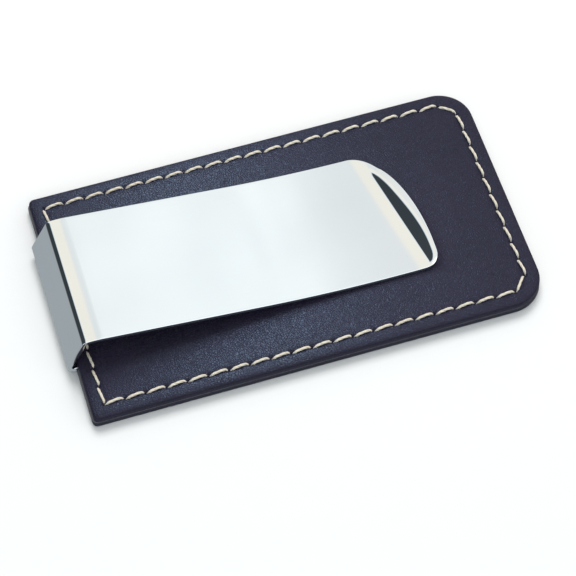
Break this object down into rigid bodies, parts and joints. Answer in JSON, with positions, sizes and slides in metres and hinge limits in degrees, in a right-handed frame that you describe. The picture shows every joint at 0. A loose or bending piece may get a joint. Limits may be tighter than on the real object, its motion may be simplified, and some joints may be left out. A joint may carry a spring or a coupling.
{
  "type": "money clip",
  "caption": "Flat stitched leather board with a stiffener inside and a sprung steel strip folded over one end, whose flexing arm presses banknotes against the leather.",
  "frame": {"origin": "centre of the underside of the leather board, where it rests on a table or a palm", "axes": "+X along the board from the fold of the steel strip to the rounded end, +Y across the board, +Z out of the face that carries the steel arm"},
  "size_m": [0.0875, 0.05, 0.0093],
  "materials": {
    "leather": "smooth dyed cowhide, satin, very dark blue",
    "stiffener": "pressed fibre board",
    "steel": "mirror-polished stainless spring steel",
    "thread": "waxed twisted sewing thread, cream"
  },
  "bodies": {
    "board": {"back_leather": "leather", "front_leather": "leather", "core_board": "stiffener", "clip_leg": "steel", "needle_thread": "thread", "bobbin_thread": "thread"},
    "arm": {"clip_arm": "steel"}
  },
  "joints": [
    {"name": "clip_flex", "type": "hinge", "parent": "board", "child": "arm", "pos_m": [-0.0396, 0.0008, 0.0088], "axis": [0, -1, 0], "range_deg": [0, 8], "stiffness_Nm_per_rad": 4, "springref_deg": -2.86}
  ]
}
